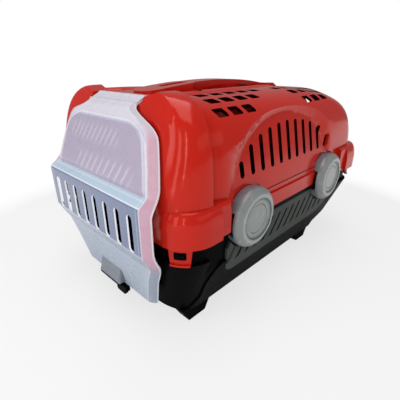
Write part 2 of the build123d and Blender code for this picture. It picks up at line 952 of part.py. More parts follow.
def door_outline(inset, low_z, high_z):
    # Front view of the door, mirrored about its middle, cut to the levels given.
    with BuildPart() as outline:
        with BuildSketch(Plane.XZ.offset(-hinge_y - knuckle_radius)):
            with BuildLine():
                edge = FilletPolyline(
                    (0, door_bottom[1]),
                    (door_bottom_half_width, door_bottom[1]),
                    (door_lower_half_width, door_lower_z),
                    (door_half_width, door_belt_foot[1] + door_wall * 5),
                    (door_half_width, (door_belt_high[1] + door_transom[1]) / 2),
                    (door_pane_half_width, door_pane_z),
                    (door_shoulder_half_width, door_shoulder_z),
                    (tongue_root_half_width, door_bend[1] - 2 * door_wall),
                    (tongue_half_width, hinge_z - 2 * running_fit),
                    (tongue_half_width, roof_z + door_wall),
                    (0, roof_z + door_wall),
                    radius=(12.0, 30.0, 16.0, 14.0, 50.0, 20.0, 4.0, 3.0, 0.6),
                )
                mirror(edge, about=Plane.YZ)
            make_face()
            if inset > 0:
                offset(amount=-inset)
        extrude(amount=2 * (hinge_y - door_belt_low[0]))
        split(bisect_by=Plane.XY.offset(low_z), keep=Keep.TOP)
        split(bisect_by=Plane.XY.offset(high_z), keep=Keep.BOTTOM)
    return outline.part


def door_rim():
    # Side walls that run back from the edge of the door towards the collar.
    face = (door_bottom, door_belt_foot, door_belt_low, door_belt_high, door_transom, door_pane_top, door_bend)
    front = [(y + door_wall / 2, z) for y, z in face]
    rear = [(y + rim_depth, z) for y, z in reversed(face)]
    middle = Box(2 * tongue_root_half_width, 4 * belt_front, 2 * hump_z, mode=Mode.PRIVATE)
    band = door_outline(0, 0, hump_z) - door_outline(door_wall, 0, hump_z) - middle
    return side_prism(front + rear, door_half_width) & band


def slot_prisms(grow):
    with BuildPart() as prisms:
        with BuildSketch(Plane.XZ.offset(-door_pane_top[0])):
            with Locations((0, door_slot_z)):
                with GridLocations(door_slot_pitch, 1, door_slot_count, 1):
                    SlotOverall(
                        door_slot_height + 2 * grow,
                        door_slot_width + 2 * grow,
                        rotation=90,
                    )
        extrude(amount=3 * pane_border)
    return prisms.part


# Clear door
with BuildPart() as door_panel:
    add(door_strip(0, door_wall))
    add(door_outline(0, 0, hump_z), mode=Mode.INTERSECT)
    add(door_rim())
    pane_low_z = door_transom[1] + pane_rise * 2
    pane_high_z = door_pane_top[1] - pane_rise * 4
    add(door_strip(pane_rise, door_wall) & door_outline(pane_border, pane_low_z, pane_high_z))
    hollow = door_outline(pane_border + rim_wall, pane_low_z + rim_wall, pane_high_z - rim_wall)
    add(door_strip(pane_rise - door_wall, door_wall) & hollow, mode=Mode.SUBTRACT)
    add(slot_prisms(slot_rim) & door_strip(slot_rim_rise, door_wall + slot_rim_rise))
    add(slot_prisms(0), mode=Mode.SUBTRACT)
    with BuildSketch(Plane.YZ):
        with Locations((hinge_y, hinge_z)):
            Circle(knuckle_radius)
    extrude(amount=tongue_half_width, both=True)
    with BuildSketch(Plane.YZ):
        with Locations((hinge_y, hinge_z)):
            Circle(hinge_pin_radius + running_fit)
    extrude(amount=door_half_width, both=True, mode=Mode.SUBTRACT)
door_panel.part.label = "door_panel"
export_step(door_panel.part, "parts/door_panel.step")

# Steel pin that the door's tongue turns on
with BuildPart() as door_hinge_pin:
    with BuildSketch(Plane.YZ):
        with Locations((hinge_y, hinge_z)):
            Circle(hinge_pin_radius)
    extrude(amount=hinge_pin_half_length, both=True)
door_hinge_pin.part.label = "door_hinge_pin"
export_step(door_hinge_pin.part, "parts/door_hinge_pin.step")

# Smoky cover over the latch bolt
with BuildPart() as latch_cover:
    low_face_y = lower_door_y(cover_low_z)
    front_y = low_face_y - cover_depth
    high_face_y = lower_door_y(cover_high_z)
    outer_points = ((high_face_y, cover_high_z), (front_y, cover_low_z), (low_face_y, cover_low_z))
    with BuildSketch(Plane.YZ.offset(latch_x - cover_half_width)):
        with BuildLine():
            Polyline(*outer_points, close=True)
        make_face()
    extrude(amount=2 * cover_half_width)
    fillet(latch_cover.faces().sort_by(Axis.Y)[0].edges().filter_by(Plane.YZ), cover_wall)
    room_y = front_y + cover_wall
    room_slope = (high_face_y - front_y) / (cover_high_z - cover_low_z)
    reach = cover_high_z - cover_low_z
    with BuildSketch(Plane.YZ.offset(latch_x - cover_half_width + cover_wall)):
        with BuildLine():
            Polyline(
                (room_y - room_slope * cover_wall, cover_low_z - cover_wall),
                (room_y + room_slope * reach, cover_high_z),
                (room_y + reach, cover_low_z - cover_wall),
                close=True,
            )
        make_face()
    extrude(amount=2 * (cover_half_width - cover_wall), mode=Mode.SUBTRACT)
latch_cover.part.label = "latch_cover"
export_step(latch_cover.part, "parts/latch_cover.step")

# Black bolt that slides sideways under the cover
with BuildPart() as latch_bolt:
    bolt_middle_y = -bolt_back_y - bolt_depth / 2
    with BuildSketch(Plane.XY.offset(bolt_low_z)):
        with Locations((latch_x, bolt_middle_y)):
            Rectangle(2 * bolt_half_length, bolt_depth)
    extrude(amount=bolt_height)
    fillet(latch_bolt.faces().sort_by(Axis.Y)[0].edges(), bolt_depth / 5)
    stem_y = -bolt_back_y - bolt_depth + bolt_stem_thickness / 2 + cover_wall / 10
    with BuildSketch(Plane.XY.offset(bolt_low_z + bolt_height / 2)):
        with Locations((latch_x, stem_y)):
            Rectangle(2 * bolt_stem_half_width, bolt_stem_thickness)
    extrude(amount=bolt_stem_top_z - bolt_low_z - bolt_height / 2)
    with BuildSketch(Plane.XZ.offset(bolt_back_y)) as knob:
        with Locations((latch_x + knob_offset, bolt_low_z - knob_drop / 2 + knob_corner / 2)):
            Rectangle(knob_width, knob_drop + knob_corner)
        fillet(knob.vertices().group_by(Axis.Y)[0], knob_corner)
    extrude(amount=bolt_depth - cover_wall)
    for number in sides:
        head_low_x = latch_x + number * hook_spacing / 2 - hook_head + gap
        arm_low_x = latch_x + number * hook_spacing / 2 + gap
        head_y = -keeper_front_y + hook_thickness + gap
        with BuildSketch(Plane.XY.offset(bolt_low_z)):
            with Locations((head_low_x, head_y)):
                Rectangle(hook_head, hook_thickness, align=(Align.MIN, Align.MIN))
            with Locations((arm_low_x, -bolt_back_y)):
                Rectangle(
                    hook_arm,
                    bolt_back_y + head_y + hook_thickness,
                    align=(Align.MIN, Align.MIN),
                )
        extrude(amount=hook_height)
latch_bolt.part.label = "latch_bolt"
export_step(latch_bolt.part, "parts/latch_bolt.step")

# Red handle along the roof
with BuildPart() as carry_handle:
    low_z = roof_z - pocket_depth / 2
    lobe_z = roof_z + handle_lobe_rise
    crest_z = roof_z + handle_crest_rise
    tip_drop = handle_lobe_rise / 2
    with BuildSketch(Plane.YZ) as side_view:
        with BuildLine():
            top = Spline(
                (handle_front_y, lobe_z - tip_drop),
                (front_screw_y, lobe_z),
                (handle_crest_y, crest_z),
                (boss_y - handle_tail_half_width, lobe_z + tip_drop),
                (handle_rear_y, roof_z - tip_drop),
            )
            Polyline(top @ 1, (handle_rear_y, low_z), (handle_front_y, low_z), top @ 0)
        make_face()
        with BuildLine():
            arch = Spline(
                (handle_lobe_end_y + handle_slot_width, roof_z - wall),
                (handle_crest_y, crest_z - handle_grip_thickness),
                (handle_tail_front_y - handle_slot_width, roof_z - wall),
            )
            Polyline(arch @ 1, (handle_tail_front_y - handle_slot_width, low_z - wall),
                     (handle_lobe_end_y + handle_slot_width, low_z - wall), arch @ 0)
        make_face(mode=Mode.SUBTRACT)
    extrude(amount=handle_tail_half_width, both=True)
    with BuildSketch(Plane.XY.offset(low_z)) as plan:
        lobe_length = handle_lobe_end_y - handle_front_y + handle_lobe_half_width
        with Locations((0, handle_front_y + lobe_length / 2)):
            RectangleRounded(2 * handle_lobe_half_width, lobe_length, handle_lobe_half_width - wall)
        grip_length = handle_tail_front_y - handle_lobe_end_y + handle_grip_half_width
        with Locations((0, handle_lobe_end_y + grip_length / 2)):
            Rectangle(2 * handle_grip_half_width, grip_length)
        tail_length = handle_rear_y - handle_tail_front_y
        with Locations((0, handle_tail_front_y + tail_length / 2)):
            RectangleRounded(2 * handle_tail_half_width, tail_length, tail_length / 2 - wall)
        fillet(plan.vertices().filter_by(lambda v: abs(v.X) < handle_grip_half_width + running_fit), wall)
        with Locations((0, handle_slot_centre_y)):
            SlotOverall(handle_slot_length, handle_slot_width, rotation=90, mode=Mode.SUBTRACT)
    extrude(amount=pocket_depth, mode=Mode.INTERSECT)
    with BuildSketch(Plane.XY.offset(low_z)):
        with Locations(*[(side * boss_x, boss_y) for side in sides]):
            Circle(boss_radius)
    extrude(amount=boss_top_z - low_z)
    add(lid_form(-gap, seam_z), mode=Mode.SUBTRACT)
    with Locations(*[(x, y, roof_z - pocket_depth) for x, y in screw_places]):
        Cylinder(
            screw_radius,
            pocket_depth - wall + screw_length,
            align=(Align.CENTER, Align.CENTER, Align.MIN),
            mode=Mode.SUBTRACT,
        )
carry_handle.part.label = "carry_handle"
export_step(carry_handle.part, "parts/carry_handle.step")

# Four screws that hold the handle from inside the roof
with BuildPart() as handle_screws:
    for x, y in screw_places:
        seat_z = roof_under_z(y + screw_head_radius)
        with BuildSketch(Plane.XY.offset(seat_z - screw_head_height)):
            with Locations((x, y)):
                Circle(screw_head_radius)
        extrude(amount=screw_head_height)
        with BuildSketch(Plane.XY.offset(seat_z)):
            with Locations((x, y)):
                Circle(screw_radius)
        extrude(amount=screw_length)
handle_screws.part.label = "handle_screws"
export_step(handle_screws.part, "parts/handle_screws.step")


def wheel_lock(lock_y):
    # Hollow wheel shaped disc on the right side, with a cam for the ledge and two rim notches.
    frame = Plane(origin=(0, lock_y, lock_z), x_dir=(1, 0, 0), z_dir=(0, 0, 1))
    axis = Axis((0, lock_y, lock_z), (1, 0, 0))
    dish_x = lock_outer_x - lock_dish_depth
    with BuildPart() as wheel:
        with BuildSketch(frame):
            with BuildLine():
                Polyline(
                    (dish_x - pivot_head_thickness, 0),
                    (lock_inner_x, 0),
                    (lock_inner_x, lock_radius - lock_wall / 4),
                    (lock_shoulder_x, lock_radius),
                )
                ThreePointArc(
                    (lock_shoulder_x, lock_radius),
                    (lock_shoulder_x + 0.72 * (lock_outer_x - lock_shoulder_x),
                     lock_radius - 0.3 * (lock_radius - lock_face_radius)),
                    (lock_outer_x, lock_face_radius),
                )
                Polyline(
                    (lock_outer_x, lock_face_radius),
                    (lock_outer_x, lock_dish_radius),
                    (dish_x, lock_dish_radius - lock_dish_depth),
                    (dish_x, pivot_head_radius + gap),
                    (dish_x - pivot_head_thickness, pivot_head_radius + gap),
                    (dish_x - pivot_head_thickness, 0),
                )
            make_face()
        revolve(axis=axis)
        room_x = dish_x - pivot_head_thickness - lock_wall
        with BuildSketch(frame):
            with BuildLine():
                Polyline(
                    (lock_inner_x - wall, lock_hub_radius),
                    (lock_inner_x - wall, lock_radius - lock_wall),
                    (lock_shoulder_x, lock_radius - lock_wall),
                    (room_x, lock_face_radius - lock_wall),
                    (room_x, lock_hub_radius),
                    close=True,
                )
            make_face()
        revolve(axis=axis, mode=Mode.SUBTRACT)
        with BuildSketch(Plane.YZ.offset(lock_inner_x)):
            with Locations((lock_y, lock_z)):
                Circle(cam_outer_radius)
                Circle(cam_inner_radius, mode=Mode.SUBTRACT)
            with BuildLine():
                reach = lock_radius / math.cos(math.radians(cam_angle / 2))
                half = math.radians(cam_angle / 2)
                Polyline(
                    (lock_y, lock_z),
                    (lock_y + reach * math.sin(half), lock_z - reach * math.cos(half)),
                    (lock_y - reach * math.sin(half), lock_z - reach * math.cos(half)),
                    close=True,
                )
            make_face(mode=Mode.INTERSECT)
        extrude(amount=room_x - lock_inner_x + running_fit)
        for y_turn, z_turn in ((0, -1), (-1, 0)):
            with BuildSketch(Plane.YZ.offset(lock_inner_x - wall)):
                with Locations((lock_y + y_turn * lock_radius, lock_z + z_turn * lock_radius)):
                    Rectangle(
                        lock_notch_width if z_turn else 2 * lock_notch_depth,
                        2 * lock_notch_depth if z_turn else lock_notch_width,
                    )
            extrude(amount=ledge_depth + 2 * wall, mode=Mode.SUBTRACT)
        add(
            disc_x(pivot_radius + running_fit, lock_y, lock_z, well_x - wall, lock_outer_x),
            mode=Mode.SUBTRACT,
        )
    return wheel.part


def wheel_pivot(lock_y):
    # Round headed stud, pressed into the lid's boss, that the lock turns on.
    head_x = lock_outer_x - lock_dish_depth - pivot_head_thickness + running_fit
    with BuildPart() as pivot:
        add(disc_x(pivot_head_radius, lock_y, lock_z, head_x, head_x + pivot_head_thickness))
        chamfer(pivot.faces().sort_by(Axis.X)[-1].edges(), pivot_head_thickness / 3)
        add(disc_x(pivot_radius, lock_y, lock_z, well_x - lug_depth, head_x))
    return pivot.part


def clip_window(plane, grow):
    middle = clip_window_drop + clip_window_height / 2
    face = Plane(
        origin=plane.origin - plane.z_dir * (middle + gap),
        x_dir=plane.y_dir,
        z_dir=plane.x_dir,
    )
    with BuildPart() as window:
        with BuildSketch(face):
            Rectangle(clip_window_width + grow, clip_window_height + grow)
        extrude(amount=2 * clip_radius)
    return window.part


def corner_clip(side, end):
    # Curved tab that hangs from the belt; its window drops over the catch on the tub.
    plane = corner_plane(side, end)
    face = Plane(origin=plane.origin, x_dir=plane.y_dir, z_dir=plane.x_dir)
    with BuildPart() as clip:
        with BuildSketch(plane.offset(-clip_height)):
            Circle(clip_radius + clip_wall)
            Circle(clip_radius, mode=Mode.SUBTRACT)
        extrude(amount=clip_height)
        with BuildSketch(plane.offset(-clip_height)):
            Circle(clip_radius + clip_wall + clip_lip)
            Circle(clip_radius, mode=Mode.SUBTRACT)
        extrude(amount=clip_wall)
        with BuildSketch(face):
            with BuildLine():
                Polyline(
                    (-clip_top_width / 2, wall),
                    (clip_top_width / 2, wall),
                    (clip_bottom_width / 2, -clip_height - wall),
                    (-clip_bottom_width / 2, -clip_height - wall),
                    close=True,
                )
            make_face()
        extrude(amount=2 * clip_radius, mode=Mode.INTERSECT)
        add(clip_window(plane, 0), mode=Mode.SUBTRACT)
    return clip.part


def grooves():
    # Row of slanted saw cuts, as deep below the slanted part of the tread as above it.
    slope = math.atan((side_recess_x - tub_floor_half_width) / (side_foot_z - tub_floor_z))
    bottom_x = side_recess_x + tread_thickness - groove_depth
    cuts = []
    for lean in (0, slope):
        plane = Plane(
            origin=(bottom_x, lock_centre_y, side_foot_z),
            x_dir=(0, 1, 0),
            z_dir=(math.cos(lean), 0, -math.sin(lean)),
        )
        with BuildPart() as row:
            with BuildSketch(plane):
                with Locations((0, groove_centre_z - side_foot_z)):
                    with GridLocations(groove_pitch, 1, groove_count, 1):
                        SlotOverall(groove_length, groove_width, rotation=90 - groove_slant)
            extrude(amount=tread_thickness)
            split(bisect_by=Plane.XY.offset(side_foot_z), keep=Keep.BOTTOM if lean else Keep.TOP)
        cuts.append(row.part)
    return cuts


def side_tread():
    # Raised panel on the right side of the tub with slanted grooves.
    with BuildPart() as tread:
        add(tub_side(tread_thickness))
        add(rounded_block(side_recess_x + tread_thickness, shoulder_front, shoulder_rear,
                          tub_corner, shoulder_z, tread_top_z))
        with BuildSketch(Plane.YZ.offset(side_recess_x + tread_thickness)):
            Rectangle(3 * belt_rear, 3 * belt_rear)
        extrude(amount=tub_corner, mode=Mode.SUBTRACT)
        add(tread_outline(0), mode=Mode.INTERSECT)
        with BuildSketch(Plane.XZ):
            with BuildLine():
                Polyline(
                    (0, tub_floor_z),
                    (tub_floor_half_width, tub_floor_z),
                    (side_recess_x, side_foot_z),
                    (side_recess_x, tread_top_z),
                    (0, tread_top_z),
                    close=True,
                )
            make_face()
        extrude(amount=2 * belt_rear, both=True, mode=Mode.SUBTRACT)
        fillet(tread.edges().filter_by(Axis.Y).sort_by(Axis.X)[-1], wall / 2)
        add(wells(well_radius + gap, side_recess_x - tub_corner), mode=Mode.SUBTRACT)
        add(grooves(), mode=Mode.SUBTRACT)
    return tread.part


for side_name, side in (("right", 1), ("left", -1)):
    for end_name, lock_y, end in (("front", lock_places[0], -1), ("rear", lock_places[1], 1)):
        for name, shape in (("wheel_lock", wheel_lock(lock_y)), ("wheel_pivot", wheel_pivot(lock_y))):
            piece = shape if side > 0 else mirrored(shape)
            piece.label = name + "_" + end_name + "_" + side_name
            export_step(piece, "parts/" + piece.label + ".step")
        clip = corner_clip(side, end)
        clip.label = "corner_clip_" + end_name + "_" + side_name
        export_step(clip, "parts/" + clip.label + ".step")
    tread = side_tread() if side > 0 else mirrored(side_tread())
    tread.label = "side_tread_" + side_name
    export_step(tread, "parts/" + tread.label + ".step")
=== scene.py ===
import json
import math

import bmesh
import bpy
from mathutils import Matrix, Vector


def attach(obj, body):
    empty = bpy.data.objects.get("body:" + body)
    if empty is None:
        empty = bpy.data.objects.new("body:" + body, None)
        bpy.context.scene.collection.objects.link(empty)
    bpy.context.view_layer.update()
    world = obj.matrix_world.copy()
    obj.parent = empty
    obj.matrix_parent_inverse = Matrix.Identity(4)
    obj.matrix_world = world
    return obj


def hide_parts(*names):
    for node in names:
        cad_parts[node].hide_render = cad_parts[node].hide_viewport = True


# Sizes and places are in metres, and angles in degrees

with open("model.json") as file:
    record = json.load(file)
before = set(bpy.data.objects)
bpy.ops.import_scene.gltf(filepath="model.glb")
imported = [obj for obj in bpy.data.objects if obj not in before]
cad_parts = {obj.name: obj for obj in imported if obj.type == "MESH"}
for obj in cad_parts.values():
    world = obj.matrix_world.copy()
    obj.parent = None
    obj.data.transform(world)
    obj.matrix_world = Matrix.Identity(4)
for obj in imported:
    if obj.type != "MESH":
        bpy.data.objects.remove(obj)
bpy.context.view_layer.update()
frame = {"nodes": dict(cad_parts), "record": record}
cadNodes = frame["nodes"]
bodyGroups = frame["record"]["behaviour"]["bodies"]
bodyOf = {node: body for body, group in bodyGroups.items() for node in group}
slotOf = {part["node"]: part["material_slot"] for part in frame["record"]["subparts"]}
print("frame loaded:", len(cadNodes), "nodes")


# Camera, at the photo's place and angle

cameraView = {
    "place": (0.3590, -0.4156, 0.3335),
    "yaw": 44.445,
    "pitch": 23.80,
    "roll": -0.13,
    "lens": 27.99,
    "sensor": 36.0,
    "clip": (0.01, 50.0),
}


def addCamera(view):
    data = bpy.data.cameras.new("viewCamera")
    data.lens = view["lens"]
    data.sensor_width = view["sensor"]
    data.clip_start, data.clip_end = view["clip"]
    camera = bpy.data.objects.new("viewCamera", data)
    bpy.context.scene.collection.objects.link(camera)
    turn = Matrix.Rotation(math.radians(view["yaw"]), 4, "Z")
    tilt = Matrix.Rotation(math.radians(90 - view["pitch"]), 4, "X")
    roll = Matrix.Rotation(math.radians(view["roll"]), 4, "Z")
    camera.matrix_world = Matrix.Translation(view["place"]) @ turn @ tilt @ roll
    bpy.context.scene.camera = camera


# Helpers for shader nodes

def feed(tree, socket, value):
    # A number or colour is set on the socket itself, and an output is linked to it
    if isinstance(value, (int, float, tuple)):
        socket.default_value = value
    else:
        tree.links.new(value, socket)


def mathNode(tree, operation, first, second=0.0):
    node = tree.nodes.new("ShaderNodeMath")
    node.operation = operation
    feed(tree, node.inputs[0], first)
    feed(tree, node.inputs[1], second)
    return node.outputs[0]


def lengthOf(tree, first, second):
    squares = [mathNode(tree, "MULTIPLY", side, side) for side in (first, second)]
    return mathNode(tree, "SQRT", mathNode(tree, "ADD", *squares))


def mixColor(tree, factor, first, second):
    node = tree.nodes.new("ShaderNodeMix")
    node.data_type = "RGBA"
    colorInputs = [socket for socket in node.inputs if socket.type == "RGBA"]
    feed(tree, node.inputs["Factor"], factor)
    feed(tree, colorInputs[0], first)
    feed(tree, colorInputs[1], second)
    return node.outputs[2]    # the colour result


def tintOver(tree, color, mask, strength, tint):
    return mixColor(tree, mathNode(tree, "MULTIPLY", mask, strength), color, tint)


def smoothStep(tree, value, low, high):
    # Rises from 0 at low to 1 at high, and falls where low is the larger number
    node = tree.nodes.new("ShaderNodeMapRange")
    node.interpolation_type = "SMOOTHSTEP"
    node.inputs["From Min"].default_value = low
    node.inputs["From Max"].default_value = high
    tree.links.new(value, node.inputs["Value"])
    return node.outputs["Result"]


def bandMask(tree, value, low, high, fade):
    # 1 between low and high, with soft ends
    rise = smoothStep(tree, value, low - fade, low + fade)
    fall = smoothStep(tree, value, high + fade, high - fade)
    return mathNode(tree, "MULTIPLY", rise, fall)


def objectPlace(tree):
    return tree.nodes.new("ShaderNodeTexCoord").outputs["Object"]


def splitPlace(tree, place):
    split = tree.nodes.new("ShaderNodeSeparateXYZ")
    tree.links.new(place, split.inputs[0])
    return split.outputs


# Objects from meshes

def plainObject(bm, name, materials):
    data = bpy.data.meshes.new(name)
    bm.to_mesh(data)
    bm.free()
    for material in materials:
        data.materials.append(material)
    item = bpy.data.objects.new(name, data)
    bpy.context.scene.collection.objects.link(item)
    return item


# Studio: pale floor, soft lamps and a white surround

studio = {
    "floorColor": (0.86, 0.86, 0.87, 1),
    "floorSize": 6.0,
    "floorGlow": 0.72,
    "floorFade": (0.30, 0.62),    # how far from the middle it turns plain white
    "surroundLight": 0.28,
    "lamps": (
        # name, place, aim, width, height, watts
        ("topSoftbox", (0.10, -0.1, 1.45), (0.0, 0.0, 0.2), 0.7, 1.5, 9.0),
        ("frontSoftbox", (0.30, -1.35, 0.45), (0.0, -0.1, 0.2), 0.20, 1.0, 2.2),
        ("doorSoftbox", (-0.45, -1.30, 0.70), (0.0, -0.2, 0.2), 0.6, 0.8, 4.6),
        ("cornerSoftbox", (0.75, -1.1, 0.55), (0.1, -0.2, 0.22), 0.05, 0.9, 1.6),
        ("sideSoftbox", (1.45, 0.25, 0.75), (0.1, 0.0, 0.2), 1.5, 0.5, 1.6),
    ),
}


def addLamp(name, place, aim, width, height, watts):
    data = bpy.data.lights.new(name, "AREA")
    data.shape = "RECTANGLE"
    data.size = width
    data.size_y = height
    data.energy = watts
    lamp = bpy.data.objects.new(name, data)
    bpy.context.scene.collection.objects.link(lamp)
    turn = (Vector(aim) - Vector(place)).to_track_quat("-Z", "Y")
    lamp.matrix_world = Matrix.Translation(place) @ turn.to_matrix().to_4x4()


def lightPathMask(tree):
    # 1 where the ray comes straight from the camera, also through clear plastic
    path = tree.nodes.new("ShaderNodeLightPath")
    return mathNode(tree, "MAXIMUM", path.outputs["Is Camera Ray"], path.outputs["Is Transmission Ray"])


def addSurround():
    # The surround lights the carrier softly, and the camera sees it white
    world = bpy.data.worlds.new("surround")
    bpy.context.scene.world = world
    world.use_nodes = True
    tree = world.node_tree
    tree.nodes.clear()
    mix = tree.nodes.new("ShaderNodeMixShader")
    tree.links.new(lightPathMask(tree), mix.inputs[0])
    for index, strength in ((1, studio["surroundLight"]), (2, 1.0)):
        background = tree.nodes.new("ShaderNodeBackground")
        background.inputs["Color"].default_value = (1, 1, 1, 1)
        background.inputs["Strength"].default_value = strength
        tree.links.new(background.outputs[0], mix.inputs[index])
    out = tree.nodes.new("ShaderNodeOutputWorld")
    tree.links.new(mix.outputs[0], out.inputs["Surface"])


def floorMaterial():
    # Matt under the carrier, where it keeps the shadow, and plain white further out
    material = bpy.data.materials.new("paleFloor")
    material.use_nodes = True
    tree = material.node_tree
    tree.nodes.clear()
    paint = tree.nodes.new("ShaderNodeBsdfDiffuse")
    paint.inputs["Color"].default_value = studio["floorColor"]
    white = tree.nodes.new("ShaderNodeEmission")
    white.inputs["Strength"].default_value = 1.0
    far = tree.nodes.new("ShaderNodeVectorMath")
    far.operation = "LENGTH"
    tree.links.new(objectPlace(tree), far.inputs[0])
    fade = smoothStep(tree, far.outputs["Value"], *studio["floorFade"])
    seen = mathNode(tree, "MULTIPLY", lightPathMask(tree), studio["floorGlow"])
    mix = tree.nodes.new("ShaderNodeMixShader")
    tree.links.new(mathNode(tree, "MAXIMUM", fade, seen), mix.inputs[0])
    tree.links.new(paint.outputs[0], mix.inputs[1])
    tree.links.new(white.outputs[0], mix.inputs[2])
    out = tree.nodes.new("ShaderNodeOutputMaterial")
    tree.links.new(mix.outputs[0], out.inputs["Surface"])
    return material


def addFloor():
    bm = bmesh.new()
    bmesh.ops.create_grid(bm, x_segments=1, y_segments=1, size=studio["floorSize"] / 2)
    floor = plainObject(bm, "floor", [floorMaterial()])


# Moulded plastic, the ground of every finish

skinNoise = {
    # scale and detail
    "broad": (9.0, 2.0),
    "fine": (70.0, 3.0),
    "grainDetail": 2.0,
    "relief": 0.0004,    # depth of the uneven skin
}

skinSockets = {
    "color": "Color",
    "clouds": "Clouds",
    "roughness": "Roughness",
    "smudge": "Smudge",
    "grainScale": "Grain Scale",
    "grain": "Grain",
}

shaderSockets = {
    "gloss": "Specular IOR Level",
    "glossTint": "Specular Tint",
    "ior": "IOR",
    "metallic": "Metallic",
    "coat": "Coat Weight",
    "coatRoughness": "Coat Roughness",
    "coatTint": "Coat Tint",
    "depth": "Subsurface Weight",
    "depthScale": "Subsurface Scale",
    "alpha": "Alpha",
    "glow": "Emission Strength",
    "glowColor": "Emission Color",
}

finishes = {
    "redGloss": {
        "color": (0.56, 0.016, 0.008, 1), "clouds": 0.10, "roughness": 0.17, "smudge": 0.06,
        "grainScale": 700.0, "grain": 0.2, "bump": 0.12, "gloss": 0.38,
        "glossTint": (1.0, 0.45, 0.36, 1),
        "coat": 0.08, "coatRoughness": 0.04, "coatTint": (1.0, 0.45, 0.36, 1),
    },
    # painted shade: the walls of the lid's holes are near black, standing for the shade inside them
    "shadedHoleWall": {
        "color": (0.010, 0.0010, 0.0010, 1), "clouds": 0.2, "roughness": 0.6, "smudge": 0.1,
        "grainScale": 700.0, "grain": 0.3, "bump": 0.1, "gloss": 0.1, "ior": 1.2,
    },
    # painted highlight: a lighter red on the lid's rounded edges
    "redEdgeHighlight": {
        "color": (0.78, 0.17, 0.11, 1), "clouds": 0.1, "roughness": 0.22, "smudge": 0.06,
        "grainScale": 700.0, "grain": 0.2, "bump": 0.1, "gloss": 0.6,
        "coat": 0.3, "coatRoughness": 0.1,
    },
    "blackSatin": {
        "color": (0.0022, 0.0024, 0.0024, 1), "clouds": 0.35, "roughness": 0.34, "smudge": 0.16,
        "grainScale": 1300.0, "grain": 0.6, "bump": 0.2, "gloss": 0.35, "ior": 1.10,
    },
    "treadGrey": {
        "color": (0.050, 0.060, 0.052, 1), "clouds": 0.25, "roughness": 0.46, "smudge": 0.2,
        "grainScale": 1300.0, "grain": 0.7, "bump": 0.35, "gloss": 0.4, "ior": 1.3,
    },
    "lockMilky": {
        "color": (0.255, 0.272, 0.27, 1), "clouds": 0.12, "roughness": 0.26, "smudge": 0.14,
        "grainScale": 500.0, "grain": 0.3, "bump": 0.2, "gloss": 0.5,
        "coat": 0.2, "coatRoughness": 0.1, "depth": 0.35, "depthScale": 0.004,
    },
    "smokyCover": {
        "color": (0.26, 0.29, 0.34, 1), "clouds": 0.15, "roughness": 0.25, "smudge": 0.12,
        "grainScale": 500.0, "grain": 0.3, "bump": 0.2, "gloss": 0.5,
        "coat": 0.3, "coatRoughness": 0.1, "alpha": 0.82,
    },
    "drawnSteel": {
        "color": (0.55, 0.55, 0.56, 1), "clouds": 0.1, "roughness": 0.3, "smudge": 0.15,
        "grainScale": 2000.0, "grain": 0.5, "bump": 0.2, "gloss": 0.5, "metallic": 1.0,
    },
}


def newGroup(name, inputs, outputs):
    group = bpy.data.node_groups.new(name, "ShaderNodeTree")
    for label, kind, default in inputs:
        socket = group.interface.new_socket(name=label, in_out="INPUT", socket_type=kind)
        socket.default_value = default
    for label, kind in outputs:
        group.interface.new_socket(name=label, in_out="OUTPUT", socket_type=kind)
    start = group.nodes.new("NodeGroupInput")
    end = group.nodes.new("NodeGroupOutput")
    return group, start.outputs, end.inputs


def noiseNode(tree, place, scale, detail):
    node = tree.nodes.new("ShaderNodeTexNoise")
    node.inputs["Detail"].default_value = detail
    feed(tree, node.inputs["Scale"], scale)
    tree.links.new(place, node.inputs["Vector"])
    return node.outputs["Fac"]


def buildMouldedSkin():
    # Faint clouds in the colour, smudged gloss and a fine uneven skin
    group, start, end = newGroup(
        "mouldedSkin",
        (
            ("Color", "NodeSocketColor", (0.5, 0.5, 0.5, 1)),
            ("Clouds", "NodeSocketFloat", 0.1),
            ("Roughness", "NodeSocketFloat", 0.3),
            ("Smudge", "NodeSocketFloat", 0.1),
            ("Grain Scale", "NodeSocketFloat", 900.0),
            ("Grain", "NodeSocketFloat", 0.3),
        ),
        (
            ("Color", "NodeSocketColor"),
            ("Roughness", "NodeSocketFloat"),
            ("Height", "NodeSocketFloat"),
        ),
    )
    place = objectPlace(group)
    broad = noiseNode(group, place, *skinNoise["broad"])
    fine = noiseNode(group, place, *skinNoise["fine"])
    grain = noiseNode(group, place, start["Grain Scale"], skinNoise["grainDetail"])
    centred = mathNode(group, "SUBTRACT", mathNode(group, "ADD", broad, fine), 1.0)
    shade = mathNode(group, "ADD", mathNode(group, "MULTIPLY", centred, start["Clouds"]), 1.0)
    tint = group.nodes.new("ShaderNodeVectorMath")
    tint.operation = "SCALE"
    group.links.new(start["Color"], tint.inputs[0])
    group.links.new(shade, tint.inputs["Scale"])
    group.links.new(tint.outputs["Vector"], end["Color"])
    smudge = mathNode(group, "MULTIPLY", mathNode(group, "SUBTRACT", fine, 0.5), start["Smudge"])
    group.links.new(mathNode(group, "ADD", start["Roughness"], smudge), end["Roughness"])
    skin = mathNode(group, "ADD", mathNode(group, "MULTIPLY", grain, start["Grain"]), broad)
    group.links.new(skin, end["Height"])


